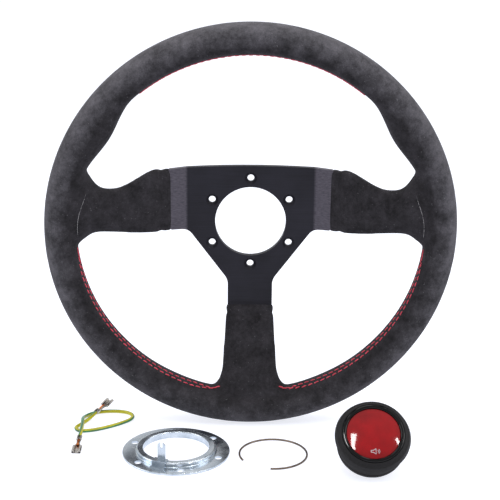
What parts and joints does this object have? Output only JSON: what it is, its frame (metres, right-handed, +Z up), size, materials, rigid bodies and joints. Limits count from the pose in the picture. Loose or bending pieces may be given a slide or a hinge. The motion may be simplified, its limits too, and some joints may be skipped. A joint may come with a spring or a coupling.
{
  "type": "steering wheel",
  "caption": "Dished suede-covered steering wheel with bent spokes and a drilled hub plate, laid out with its horn button, retaining ring, wire snap ring and earth lead.",
  "frame": {"origin": "centre of the hub bolt circle, on the back face of the spoke plate", "axes": "+Y points out of the hub face away from the driver, +Z is up with one spoke down, +X is to the driver's right"},
  "size_m": [0.32, 0.1463, 0.32],
  "materials": {
    "anodised_plate": "black anodised over fine brushing, satin",
    "hoop_steel": "bare rolled steel",
    "rivet_alloy": "plain aluminium",
    "grip_foam": "moulded polyurethane foam",
    "rim_suede": "charcoal suede with a short nap",
    "spoke_suede": "charcoal suede with a short nap",
    "red_thread": "waxed red sewing thread",
    "button_rubber": "matte black moulding",
    "insulating_board": "phenolic insulating board",
    "zinc_steel": "bright zinc plating, slightly blue",
    "contact_brass": "stamped brass",
    "spring_steel": "drawn spring steel",
    "cap_gloss": "polished black plastic",
    "badge_red": "domed clear resin over deep red",
    "tinned_terminal": "tinned brass, satin",
    "snap_steel": "dark spring wire, oil browned",
    "lead_insulation": "yellow insulation with a green stripe"
  },
  "bodies": {
    "wheel": {"spoke_plate": "anodised_plate", "rim_hoop": "hoop_steel", "arm_rivets": "rivet_alloy", "grip_foam": "grip_foam", "cover_upper": "rim_suede", "cover_lower_left": "rim_suede", "cover_lower_right": "rim_suede", "thumb_rest_left": "rim_suede", "thumb_rest_right": "rim_suede", "sleeve_left": "spoke_suede", "sleeve_right": "spoke_suede", "sleeve_lower": "spoke_suede", "stitching_upper": "red_thread", "stitching_lower_left": "red_thread", "stitching_lower_right": "red_thread"},
    "horn_button": {"button_housing": "button_rubber", "button_base": "insulating_board", "base_screws": "zinc_steel", "fixed_contact": "contact_brass", "live_spade": "contact_brass", "earth_spade": "contact_brass", "return_spring": "spring_steel"},
    "horn_cap": {"button_cap": "cap_gloss", "moving_contact": "contact_brass", "cap_badge": "badge_red", "stem_clip": "spring_steel"},
    "hub_ring": {"retaining_ring": "zinc_steel", "ring_spade": "tinned_terminal"},
    "spring_clip": {"snap_ring": "snap_steel"},
    "lead": {"earth_lead": "lead_insulation", "lead_terminal_front": "tinned_terminal", "lead_terminal_rear": "tinned_terminal"}
  },
  "joints": [
    {"name": "button_lift", "type": "slide", "parent": "wheel", "child": "horn_button", "axis": [0, 0, 1], "range_m": [0, 0.06]},
    {"name": "cap_press", "type": "slide", "parent": "horn_button", "child": "horn_cap", "axis": [0, 0.6691, -0.7431], "range_m": [0, 0.002], "stiffness_N_per_m": 400, "springref_m": -0.004, "deforming": ["return_spring"]},
    {"name": "ring_lift", "type": "slide", "parent": "wheel", "child": "hub_ring", "axis": [0, 0, 1], "range_m": [0, 0.06]},
    {"name": "clip_lift", "type": "slide", "parent": "wheel", "child": "spring_clip", "axis": [0, 0, 1], "range_m": [0, 0.06]},
    {"name": "lead_slide", "type": "slide", "parent": "wheel", "child": "lead", "axis": [-1, 0, 0], "range_m": [0, 0.08]}
  ]
}
